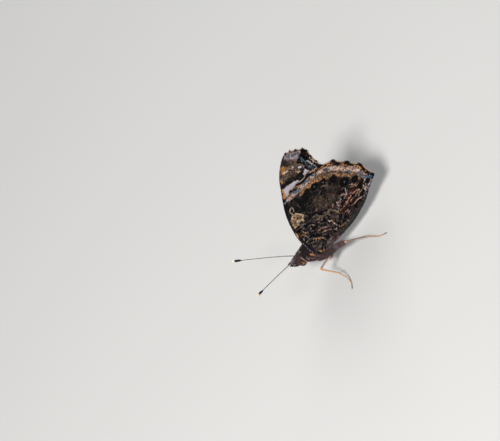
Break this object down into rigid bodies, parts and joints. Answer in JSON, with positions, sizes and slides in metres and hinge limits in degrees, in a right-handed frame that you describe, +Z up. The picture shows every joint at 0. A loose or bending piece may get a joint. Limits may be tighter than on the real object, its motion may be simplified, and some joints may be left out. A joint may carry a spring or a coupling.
{
  "type": "red admiral butterfly",
  "caption": "Life-size still model of a butterfly, standing with its wings closed over its back, its clubbed antennae raised and its front legs folded.",
  "frame": {"origin": "on the floor, below the middle of the model's box", "axes": "+Z up, the head points to -X, the tail to +X and the butterfly's left side to -Y"},
  "size_m": [0.0402, 0.0212, 0.0345],
  "materials": {
    "fur": "short dark purple-brown fur",
    "abdomen": "close dark brown scales and hair",
    "eye": "glossy brown with golden glints",
    "palp": "dark scales with pale sides",
    "antenna": "dark with pale rings, a black club and a cream tip",
    "forewing": "satin scales, mottled dark brown with pale marks",
    "hindwing": "satin scales, mottled dark brown with ochre lines",
    "foreleg": "brush of long brown hair",
    "femur": "pinkish beige scales with dark edges",
    "shin": "ochre scales with short dark spines"
  },
  "bodies": {
    "root": {"head": "fur", "eye_left": "eye", "eye_right": "eye", "palp_left": "palp", "palp_right": "palp", "antenna_left": "antenna", "antenna_right": "antenna", "thorax": "fur", "abdomen": "abdomen", "forewing_left": "forewing", "forewing_right": "forewing", "hindwing_left": "hindwing", "hindwing_right": "hindwing", "foreleg_left": "foreleg", "foreleg_right": "foreleg", "midleg_femur_left": "femur", "midleg_femur_right": "femur", "midleg_tibia_left": "shin", "midleg_tibia_right": "shin", "midleg_tarsus_left": "shin", "midleg_tarsus_right": "shin", "hindleg_femur_left": "femur", "hindleg_femur_right": "femur", "hindleg_tibia_left": "shin", "hindleg_tibia_right": "shin", "hindleg_tarsus_left": "shin", "hindleg_tarsus_right": "shin"}
  },
  "joints": []
}
